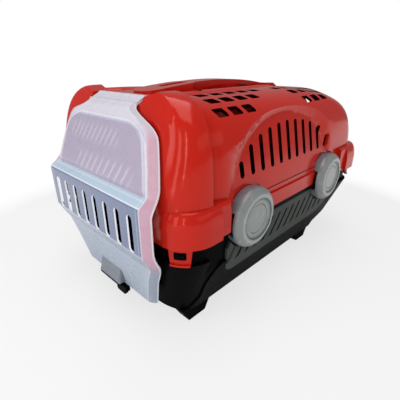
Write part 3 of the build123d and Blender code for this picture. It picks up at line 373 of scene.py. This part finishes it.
def mouldedMaterial(name, look):
    material = bpy.data.materials.new(name)
    material.use_nodes = True
    tree = material.node_tree
    shader = tree.nodes["Principled BSDF"]
    skin = tree.nodes.new("ShaderNodeGroup")
    skin.name = "skin"
    skin.node_tree = bpy.data.node_groups["mouldedSkin"]
    bump = tree.nodes.new("ShaderNodeBump")
    bump.inputs["Strength"].default_value = look["bump"]
    bump.inputs["Distance"].default_value = skinNoise["relief"]
    for node, sockets in ((skin, skinSockets), (shader, shaderSockets)):
        for key, label in sockets.items():
            if key in look:
                node.inputs[label].default_value = look[key]
    tree.links.new(skin.outputs["Color"], shader.inputs["Base Color"])
    tree.links.new(skin.outputs["Roughness"], shader.inputs["Roughness"])
    tree.links.new(skin.outputs["Height"], bump.inputs["Height"])
    tree.links.new(bump.outputs["Normal"], shader.inputs["Normal"])
    return material


def paintSkin(material, color):
    material.node_tree.links.new(color, material.node_tree.nodes["skin"].inputs["Color"])


# Moulded pieces: merged copies of the CAD's own solids, with their edges rounded

moulding = {
    "mergeDistance": 0.00002,
    "flatAngle": 0.6,         # neighbouring faces that turn less than this are joined
    "creaseAngle": 32.0,      # edges that turn more than this are rounded
    "segments": 2,
    "normalWeight": 60,
    # width of the rounded edges on each piece, by the start of its name
    "edges": {
        "tub_shell": 0.0010,
        "carry_handle": 0.0014,
        "latch_cover": 0.0005,
        "latch_bolt": 0.0006,
        "side_tread_right": 0.0008,
        "side_tread_left": 0.0008,
        "corner_clip": 0.0006,
        "wheel_lock": 0.0008,
    },
}


def mergedCopy(node):
    bm = bmesh.new()
    bm.from_mesh(cadNodes[node].data)
    bmesh.ops.remove_doubles(bm, verts=bm.verts, dist=moulding["mergeDistance"])
    return bm


def joinFlatFaces(bm):
    bmesh.ops.dissolve_limit(bm, angle_limit=math.radians(moulding["flatAngle"]), verts=bm.verts,
                             edges=bm.edges, delimit={"MATERIAL"})


def finishPiece(bm, name, materials, node, edge, edgeSlot=-1):
    piece = plainObject(bm, name, materials)
    crease = math.radians(moulding["creaseAngle"])
    for polygon in piece.data.polygons:
        polygon.use_smooth = True
    piece.data.set_sharp_from_angle(angle=crease)
    bevel = piece.modifiers.new("roundedEdges", "BEVEL")
    bevel.width = edge
    bevel.segments = moulding["segments"]
    bevel.limit_method = "ANGLE"
    bevel.angle_limit = crease
    bevel.material = edgeSlot
    normals = piece.modifiers.new("evenNormals", "WEIGHTED_NORMAL")
    normals.weight = moulding["normalWeight"]
    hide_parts(node)
    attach(piece, bodyOf[node])


def addMoulded(node, edge):
    bm = mergedCopy(node)
    joinFlatFaces(bm)
    finishPiece(bm, node + "Moulded", [materialOf[slotOf[node]]], node, edge)


# Clear door: frosted plastic in one moulding, with a tint for each part of it

doorShape = {
    # height and depth of the outer face, from the foot up to the tongue
    "profile": (
        (0.038, -0.229), (0.108, -0.241), (0.134, -0.254), (0.194, -0.254),
        (0.202, -0.240), (0.276, -0.219), (0.287, -0.214), (0.2925, -0.2035),
    ),
    # height and half width
    "outline": (
        (0.038, 0.090), (0.084, 0.105), (0.118, 0.1225), (0.194, 0.1235), (0.230, 0.1135),
        (0.258, 0.1045), (0.268, 0.0985), (0.275, 0.089), (0.280, 0.076), (0.2835, 0.063),
        (0.2865, 0.0545), (0.300, 0.0505),
    ),
    "columns": 120,
    "rows": 200,
    "skin": 0.0021,
    "edge": 0.0006,
    "faceShare": 0.8,             # how much of each half the flat face takes
    "borderWidth": 0.013,
    "borderFullFrom": 0.095,      # half width above which the border is at full width
    "borderDepth": 0.0070,
    "borderTaper": ((0.0, 1.0), (0.262, 1.0), (0.278, 0.35), (0.3, 0.35)),
    "borderPowers": (0.9, 1.4),   # how it bends outwards and back
    "creaseReach": 0.0022,
    "borderReach": 0.010,
    "outlineReach": 0.004,
    "paneTop": 0.274,
    "paneFoot": 0.204,
    "paneSide": 0.003,
    "paneCorner": 0.022,
    "paneRise": 0.0016,
    "paneStep": 0.003,
    "mapScale": 100.0,            # the map counts centimetres in from the border
}

slotShape = {
    "count": 8,
    "pitch": 0.026,
    "width": 0.0106,
    "height": 0.048,
    "centre": 0.158,
    "sides": 24,
    "cutterLength": 0.06,
    "cutterPlace": -0.25,
}

tongueShape = {
    "direction": (0, 0.887, 0.462),    # towards the tongue's end
    "mapPlace": 1.3,                   # keeps the border's tint off it
}

# order of the materials on the door; the slot walls and the edge carry painted light
doorFaces = {"frosted": 0, "glowingSlotWall": 1, "edge": 2}

doorPlastic = {
    "clouds": 0.06, "roughness": 0.25, "smudge": 0.10, "grainScale": 700.0, "grain": 0.2,
    "bump": 0.05, "gloss": 0.55,
}

# Painted light: the walls of the slots and the door's edge glow pale, as painted highlights: tint,
# alpha, glow
paintedGlowParts = {
    "glowingSlotWall": ("glowingSlotWall", 1.0, 0.45),
    "glowingDoorEdge": ("edge", 0.95, 0.12),
}

doorTints = {
    "low": (0.44, 0.51, 0.61, 1),
    "underBelt": (0.43, 0.49, 0.60, 1),
    "belt": (0.20, 0.24, 0.37, 1),
    "ledge": (0.50, 0.63, 0.76, 1),
    "pane": (0.46, 0.40, 0.52, 1),
    # painted light streaks seen through the pane
    "lightStreak": (0.68, 0.65, 0.75, 1),
    "top": (0.56, 0.52, 0.64, 1),
    "tongue": (0.70, 0.67, 0.76, 1),
    "borderHigh": (0.72, 0.44, 0.55, 1),
    "borderLow": (0.40, 0.45, 0.56, 1),
    # painted highlight, for the pale lines
    "line": (0.88, 0.90, 0.95, 1),
    # painted shade, for a dark line along a step
    "shade": (0.14, 0.18, 0.29, 1),
    # painted light: the pale glow of the slot walls
    "glowingSlotWall": (0.82, 0.83, 0.88, 1),
    # painted highlight on the door's rounded edges
    "edge": (0.88, 0.88, 0.92, 1),
}

doorPainting = {
    "roughness": 0.28,
    # the heights over which each tint takes over from the one below it
    "levels": ((0.1075, 0.1085, "underBelt"), (0.1330, 0.1345, "belt"), (0.1935, 0.1945, "ledge")),
    "top": (0.2010, 0.2025),
    "tongue": (0.262, 0.276),
    "transom": (0.2010, 0.2030),
    "paneEdge": (0.0, 0.0015),
    "collar": (0.098, 0.128),
    "borderTongue": (0.255, 0.280),
    "borderEnd": (1.06, 0.98),
    # from, to, tint and strength of the lines round the pane and across the door: pale ones are painted
    # highlights, the dark one painted shade
    "paneRimHighlights": ((-0.0020, -0.0006, "line", 0.55), (0.0010, 0.0022, "ledge", 0.6)),
    "stepHighlightsAndShade": (
        (0.1318, 0.1338, "line", 0.75), (0.1928, 0.1937, "shade", 0.7), (0.1938, 0.1950, "line", 0.8),
        (0.1990, 0.2000, "line", 0.4), (0.1065, 0.1080, "line", 0.3),
    ),
    "lineFade": 0.0004,
    "levelLineEnds": (0.9, 1.1),
    # from, to and strength of the pale lines along the border, painted highlights, on the door's map
    "creaseHighlights": ((0.94, 1.08, 0.7), (1.50, 1.60, 0.35), (0.0, 0.10, 0.9)),
    "creaseFade": 0.03,
    "alpha": 0.97,
    "borderClear": 0.20,
}

# painted light: light from the far side's slots (upper row) and its pools on the floor inside (lower
# row), seen through the pane
paneLightStreaks = {
    # low and high end, from and to across the door, spacing
    "rows": ((0.243, 0.263, -0.072, 0.040, 0.0112), (0.205, 0.227, -0.052, 0.076, 0.0138)),
    "lean": 0.6,
    "fadeUp": 0.005,
    "fadeAcross": 0.010,
    "contrast": (0.1, 0.9),
    "strength": 0.55,
}


def lightStreakMask(tree, across, height):
    # Painted light: faint upright streaks of light behind the frosted pane, in two rows
    slanted = mathNode(tree, "SUBTRACT", across, mathNode(tree, "MULTIPLY", height, paneLightStreaks["lean"]))
    total = None
    for low, high, fromX, toX, pitch in paneLightStreaks["rows"]:
        wave = mathNode(tree, "SINE", mathNode(tree, "MULTIPLY", slanted, 2 * math.pi / pitch))
        stripe = smoothStep(tree, wave, *paneLightStreaks["contrast"])
        up = bandMask(tree, height, low, high, paneLightStreaks["fadeUp"])
        along = bandMask(tree, across, fromX, toX, paneLightStreaks["fadeAcross"])
        row = mathNode(tree, "MULTIPLY", stripe, mathNode(tree, "MULTIPLY", up, along))
        total = row if total is None else mathNode(tree, "MAXIMUM", total, row)
    return mathNode(tree, "MULTIPLY", total, paneLightStreaks["strength"])


def paneInside(tree, inward, height):
    # Distance in from the pane's outline, whose top corners are round
    corner = doorShape["paneCorner"]
    side = mathNode(tree, "SUBTRACT", doorShape["paneSide"] + corner, inward)
    top = mathNode(tree, "SUBTRACT", height, doorShape["paneTop"] - corner)
    sideLeft = mathNode(tree, "MAXIMUM", side, 0.0)
    topLeft = mathNode(tree, "MAXIMUM", top, 0.0)
    return mathNode(tree, "SUBTRACT", corner, lengthOf(tree, sideLeft, topLeft))


def paintLevels(tree, height):
    # From the lower panel up over the belt and the ledge to the tongue
    color = doorTints["low"]
    for low, high, tint in doorPainting["levels"]:
        color = mixColor(tree, smoothStep(tree, height, low, high), color, doorTints[tint])
    onTongue = smoothStep(tree, height, *doorPainting["tongue"])
    top = mixColor(tree, onTongue, doorTints["top"], doorTints["tongue"])
    return mixColor(tree, smoothStep(tree, height, *doorPainting["top"]), color, top)


def paintPane(tree, color, across, height, inward):
    inside = paneInside(tree, inward, height)
    overTransom = smoothStep(tree, height, *doorPainting["transom"])
    lightStreaks = lightStreakMask(tree, across, height)
    pane = mixColor(tree, lightStreaks, doorTints["pane"], doorTints["lightStreak"])
    onPane = smoothStep(tree, inside, *doorPainting["paneEdge"])
    color = mixColor(tree, mathNode(tree, "MULTIPLY", onPane, overTransom), color, pane)
    # painted highlights: pale lines round the pane's raised rim
    for low, high, tint, strength in doorPainting["paneRimHighlights"]:
        ring = bandMask(tree, inside, low, high, doorPainting["lineFade"])
        ring = mathNode(tree, "MULTIPLY", ring, overTransom)
        color = tintOver(tree, color, ring, strength, doorTints[tint])
    return color


def paintBorder(tree, color, height, onBorder):
    # Pink over the red collar, grey over the tub
    overCollar = smoothStep(tree, height, *doorPainting["collar"])
    border = mixColor(tree, overCollar, doorTints["borderLow"], doorTints["borderHigh"])
    onTongue = smoothStep(tree, height, *doorPainting["borderTongue"])
    border = mixColor(tree, onTongue, border, doorTints["tongue"])
    return mixColor(tree, onBorder, color, border)


def paintLines(tree, color, height, share):
    # Painted highlights as pale lines along the creases, then painted highlights and painted shade as
    # pale and dark lines along the steps
    for low, high, strength in doorPainting["creaseHighlights"]:
        line = bandMask(tree, share, low, high, doorPainting["creaseFade"])
        color = tintOver(tree, color, line, strength, doorTints["line"])
    offBorder = smoothStep(tree, share, *doorPainting["levelLineEnds"])
    for low, high, tint, strength in doorPainting["stepHighlightsAndShade"]:
        line = bandMask(tree, height, low, high, doorPainting["lineFade"])
        line = mathNode(tree, "MULTIPLY", line, offBorder)
        color = tintOver(tree, color, line, strength, doorTints[tint])
    return color


def frostedMaterial():
    material = mouldedMaterial("frostedDoor", {**doorPlastic, "roughness": doorPainting["roughness"]})
    tree = material.node_tree
    place = splitPlace(tree, objectPlace(tree))
    across, height = place["X"], place["Z"]
    # The map's X runs from 0 at the rim to 1 at the border's inner end, then in over the face
    doorMap = tree.nodes.new("ShaderNodeUVMap")
    doorMap.uv_map = "doorPlace"
    share = splitPlace(tree, doorMap.outputs["UV"])["X"]
    beyond = mathNode(tree, "SUBTRACT", share, 1.0)
    inward = mathNode(tree, "MULTIPLY", beyond, 1 / doorShape["mapScale"])
    onBorder = smoothStep(tree, share, *doorPainting["borderEnd"])
    color = paintLevels(tree, height)
    color = paintPane(tree, color, across, height, inward)
    color = paintBorder(tree, color, height, onBorder)
    paintSkin(material, paintLines(tree, color, height, share))
    clear = mathNode(tree, "MULTIPLY", onBorder, doorPainting["borderClear"])
    alpha = mathNode(tree, "SUBTRACT", doorPainting["alpha"], clear)
    tree.links.new(alpha, tree.nodes["Principled BSDF"].inputs["Alpha"])
    return material


# Painted light: a pale tint with a glow, for parts that are no lamp
def paintedGlowMaterial(name):
    tint, alpha, glow = paintedGlowParts[name]
    look = {"color": doorTints[tint], "alpha": alpha, "glow": glow, "glowColor": doorTints[tint]}
    return mouldedMaterial(name, {**doorPlastic, **look})


def lineAt(points, place):
    for (low, first), (high, second) in zip(points, points[1:]):
        if place <= high:
            return first + (place - low) / (high - low) * (second - first)
    return points[-1][1]


def roundedLineAt(points, place, reach, half=4):
    # The line through the points, rounded by its mean over the reach to both sides
    steps = [place + reach * step / half for step in range(-half, half + 1)]
    return sum(lineAt(points, step) for step in steps) / len(steps)


def doorPoint(across, height):
    # The point on the outer face and its place on the door's map; across runs from -1 to 1
    halfWidth = roundedLineAt(doorShape["outline"], height, doorShape["outlineReach"])
    border = doorShape["borderWidth"] * min(1.0, halfWidth / doorShape["borderFullFrom"])
    flat = halfWidth - border
    faceDepth = roundedLineAt(doorShape["profile"], height, doorShape["creaseReach"])
    depth = doorShape["borderDepth"] * lineAt(doorShape["borderTaper"], height)
    rimDepth = roundedLineAt(doorShape["profile"], height, doorShape["borderReach"]) + depth
    side = math.copysign(1.0, across)
    reach = abs(across)
    if reach > doorShape["faceShare"]:
        turn = (reach - doorShape["faceShare"]) / (1 - doorShape["faceShare"])
        outwards, back = doorShape["borderPowers"]
        x = flat + border * turn ** outwards
        y = faceDepth + (rimDepth - faceDepth) * turn ** back
        return Vector((side * x, y, height)), 1 - turn
    x = flat * reach / doorShape["faceShare"]
    inward = flat - x
    corner = doorShape["paneCorner"]
    sideLeft = max(doorShape["paneSide"] + corner - inward, 0.0)
    topLeft = max(height - (doorShape["paneTop"] - corner), 0.0)
    inside = min(corner - math.hypot(sideLeft, topLeft), height - doorShape["paneFoot"])
    rise = doorShape["paneRise"] * max(0.0, min(1.0, inside / doorShape["paneStep"]))
    return Vector((side * x, faceDepth - rise, height)), 1 + inward * doorShape["mapScale"]


def doorSheet():
    bm = bmesh.new()
    bmesh.ops.create_grid(bm, x_segments=doorShape["columns"], y_segments=doorShape["rows"], size=1.0)
    low, high = doorShape["profile"][0][0], doorShape["profile"][-1][0]
    places = {}
    for vert in bm.verts:
        height = low + (high - low) * (vert.co.y + 1) / 2
        vert.co, places[vert] = doorPoint(vert.co.x, height)
    layer = bm.loops.layers.uv.new("doorPlace")
    for face in bm.faces:
        for loop in face.loops:
            loop[layer].uv = (places[loop.vert], loop.vert.co.z)
    return bm


def slotCutters():
    bm = bmesh.new()
    radius = slotShape["width"] / 2
    stretch = (slotShape["height"] - slotShape["width"]) / 2
    middle = (slotShape["count"] - 1) / 2
    halfSide = math.radians(180 / slotShape["sides"])
    lay = Matrix.Rotation(math.radians(90), 4, "X") @ Matrix.Rotation(halfSide, 4, "Z")
    for index in range(slotShape["count"]):
        made = bmesh.ops.create_cone(bm, cap_ends=True, segments=slotShape["sides"], radius1=radius,
                                     radius2=radius, depth=slotShape["cutterLength"], matrix=lay)
        for vert in made["verts"]:
            vert.co.z += math.copysign(stretch, vert.co.z) + slotShape["centre"]
            vert.co.x += (index - middle) * slotShape["pitch"]
            vert.co.y += slotShape["cutterPlace"]
    bmesh.ops.recalc_face_normals(bm, faces=bm.faces)
    for face in bm.faces:
        face.material_index = doorFaces["glowingSlotWall"]
    return bm


def slottedDoor(materials):
    # The sheet gets its wall, and the slots are cut through it
    sheet = plainObject(doorSheet(), "doorSheet", materials)
    wall = sheet.modifiers.new("wall", "SOLIDIFY")
    wall.thickness = doorShape["skin"]
    wall.offset = -1.0
    wall.material_offset_rim = doorFaces["edge"]
    cutter = plainObject(slotCutters(), "slotCutter", materials)
    cut = sheet.modifiers.new("slots", "BOOLEAN")
    cut.operation = "DIFFERENCE"
    cut.solver = "EXACT"
    cut.object = cutter
    bpy.context.view_layer.update()
    made = sheet.evaluated_get(bpy.context.evaluated_depsgraph_get()).to_mesh()
    bm = bmesh.new()
    bm.from_mesh(made)
    for item in (sheet, cutter):
        bpy.data.objects.remove(item)
    return bm


def addTongueEnd(bm):
    # The tongue's end with its knuckle comes from the CAD's own door
    source = mergedCopy("door_panel")
    height, depth = doorShape["profile"][-1]
    bmesh.ops.bisect_plane(source, geom=source.verts[:] + source.edges[:] + source.faces[:],
                           plane_co=(0, depth, height), plane_no=tongueShape["direction"],
                           clear_inner=True)
    data = bpy.data.meshes.new("tongueEnd")
    source.to_mesh(data)
    source.free()
    layer = bm.loops.layers.uv["doorPlace"]
    known = set(bm.faces)
    bm.from_mesh(data)
    bpy.data.meshes.remove(data)
    for face in bm.faces:
        if face not in known:
            face.material_index = doorFaces["frosted"]
            for loop in face.loops:
                loop[layer].uv = (tongueShape["mapPlace"], loop.vert.co.z)


def addDoor():
    materials = [materialOf["clear_plastic"], paintedGlowMaterial("glowingSlotWall"), paintedGlowMaterial("glowingDoorEdge")]
    bm = slottedDoor(materials)
    addTongueEnd(bm)
    finishPiece(bm, "doorMoulded", materials, "door_panel", doorShape["edge"], doorFaces["edge"])


# Lid: a fuller rear end to the roof, painted shade on the walls of its holes and painted highlights on
# its edges

lidShape = {
    "rise": 0.017,
    "riseDepths": (0.095, 0.195),
    "riseHeights": (0.165, 0.235),
    "riseSides": (0.060, 0.125),
    "sideShare": 0.35,        # how much of the rise is left at the sides
    "edge": 0.0012,
    # the walls of the holes, which get the painted shade
    "holeWalls": (
        # ranges of distance out, depth and height, then the normal's axis and its largest share
        ((0.100, 0.200), (-0.139, 0.117), (0.172, 0.262), 0, 0.2),     # slots in the sides
        ((0.055, 0.140), (-0.165, 0.225), (0.235, 0.400), 2, 0.08),    # slanted vents in the roof
    ),
}

# order of the materials on the lid; the hole walls carry painted shade and the edges a painted highlight
lidFaces = {"outside": 0, "shadedHoleWall": 1, "edge": 2}


def smooth(value, low, high):
    share = max(0.0, min(1.0, (value - low) / (high - low)))
    return share * share * (3 - 2 * share)


def raiseRear(bm):
    least = lidShape["sideShare"]
    for vert in bm.verts:
        along = smooth(vert.co.y, *lidShape["riseDepths"])
        across = 1 - smooth(abs(vert.co.x), *lidShape["riseSides"])
        up = smooth(vert.co.z, *lidShape["riseHeights"])
        vert.co.z += lidShape["rise"] * along * (least + (1 - least) * across) * up


def isHoleWall(face):
    centre = face.calc_center_median()
    place = (abs(centre.x), centre.y, centre.z)
    for *ranges, axis, most in lidShape["holeWalls"]:
        inside = all(low < value < high for value, (low, high) in zip(place, ranges))
        if inside and abs(face.normal[axis]) < most:
            return True
    return False


def addLid():
    bm = mergedCopy("lid_shell")
    bm.normal_update()
    for face in bm.faces:
        face.material_index = lidFaces["shadedHoleWall" if isHoleWall(face) else "outside"]
    joinFlatFaces(bm)
    raiseRear(bm)
    materials = [materialOf["red_plastic"], mouldedMaterial("shadedHoleWall", finishes["shadedHoleWall"]),
                 mouldedMaterial("redEdgeHighlight", finishes["redEdgeHighlight"])]
    finishPiece(bm, "lidMoulded", materials, "lid_shell", lidShape["edge"], lidFaces["edge"])


# Locks: the face of each has a dish, a dark line of painted shade and a bright ring of painted highlight

lockRings = {
    "centres": (-0.1085, 0.1131),
    "height": 0.1495,
    "face": (0.1555, 0.1585),
    # from, to, colour, strength: the dish, a line of painted shade, a ring of painted highlight
    "rings": (
        (0.0, 0.0255, (0.34, 0.37, 0.36, 1), 0.7),
        (0.0265, 0.0285, (0.05, 0.055, 0.06, 1), 0.8),
        (0.0295, 0.0335, (0.42, 0.45, 0.45, 1), 0.7),
    ),
    "ringFade": 0.0006,
    "side": (0.20, 0.215, 0.235, 1),
}


def paintLocks(material):
    tree = material.node_tree
    place = splitPlace(tree, objectPlace(tree))
    up = mathNode(tree, "SUBTRACT", place["Z"], lockRings["height"])
    alongs = [mathNode(tree, "SUBTRACT", place["Y"], centre) for centre in lockRings["centres"]]
    # Distance from the nearer lock's middle
    reach = mathNode(tree, "MINIMUM", *[lengthOf(tree, along, up) for along in alongs])
    onFace = smoothStep(tree, mathNode(tree, "ABSOLUTE", place["X"]), *lockRings["face"])
    color = mixColor(tree, onFace, lockRings["side"], finishes["lockMilky"]["color"])
    for low, high, tint, strength in lockRings["rings"]:
        ring = bandMask(tree, reach, low, high, lockRings["ringFade"])
        color = tintOver(tree, color, mathNode(tree, "MULTIPLY", ring, onFace), strength, tint)
    paintSkin(material, color)


# Treads: painted shade, a wide dark band with soft sides over each saw cut

treadGrooveShade = {
    "centre": 0.0023,
    "height": 0.109,
    "pitch": 0.020,
    "slant": 0.781,
    "reach": 0.0165,
    "endFade": 0.001,
    "share": 0.34,
    "sideFade": 0.05,
    "color": (0.012, 0.016, 0.013, 1),
}


def paintTreadGrooveShade(material):
    tree = material.node_tree
    place = splitPlace(tree, objectPlace(tree))
    up = mathNode(tree, "SUBTRACT", place["Z"], treadGrooveShade["height"])
    along = mathNode(tree, "SUBTRACT", place["Y"], mathNode(tree, "MULTIPLY", up, treadGrooveShade["slant"]))
    fromCentre = mathNode(tree, "SUBTRACT", along, treadGrooveShade["centre"])
    turn = mathNode(tree, "DIVIDE", fromCentre, treadGrooveShade["pitch"])
    off = mathNode(tree, "SUBTRACT", turn, mathNode(tree, "ROUND", turn))
    half, fade = treadGrooveShade["share"] / 2, treadGrooveShade["sideFade"]
    band = smoothStep(tree, mathNode(tree, "ABSOLUTE", off), half + fade, half - fade)
    inside = bandMask(tree, up, -treadGrooveShade["reach"], treadGrooveShade["reach"], treadGrooveShade["endFade"])
    onBand = mathNode(tree, "MULTIPLY", band, inside)
    paintSkin(material, mixColor(tree, onBand, finishes["treadGrey"]["color"], treadGrooveShade["color"]))


# The whole carrier in its studio

# the finish of each of the CAD's materials
finishOf = {
    "red_plastic": "redGloss",
    "black_plastic": "blackSatin",
    "grey_plastic": "treadGrey",
    "lock_plastic": "lockMilky",
    "smoky_plastic": "smokyCover",
    "steel": "drawnSteel",
}

buildMouldedSkin()
materialOf = {slot: mouldedMaterial(name, finishes[name]) for slot, name in finishOf.items()}
materialOf["clear_plastic"] = frostedMaterial()
paintLocks(materialOf["lock_plastic"])
paintTreadGrooveShade(materialOf["grey_plastic"])
for node, item in cadNodes.items():
    item.data.materials.clear()
    item.data.materials.append(materialOf[slotOf[node]])
print("materials ready")

for start, edge in moulding["edges"].items():
    for node in cadNodes:
        if node.startswith(start):
            addMoulded(node, edge)
addLid()
addDoor()
print("moulded pieces ready")

addCamera(cameraView)
addSurround()
addFloor()
for lampValues in studio["lamps"]:
    addLamp(*lampValues)
bpy.context.scene.view_settings.view_transform = "Standard"
print("studio ready")
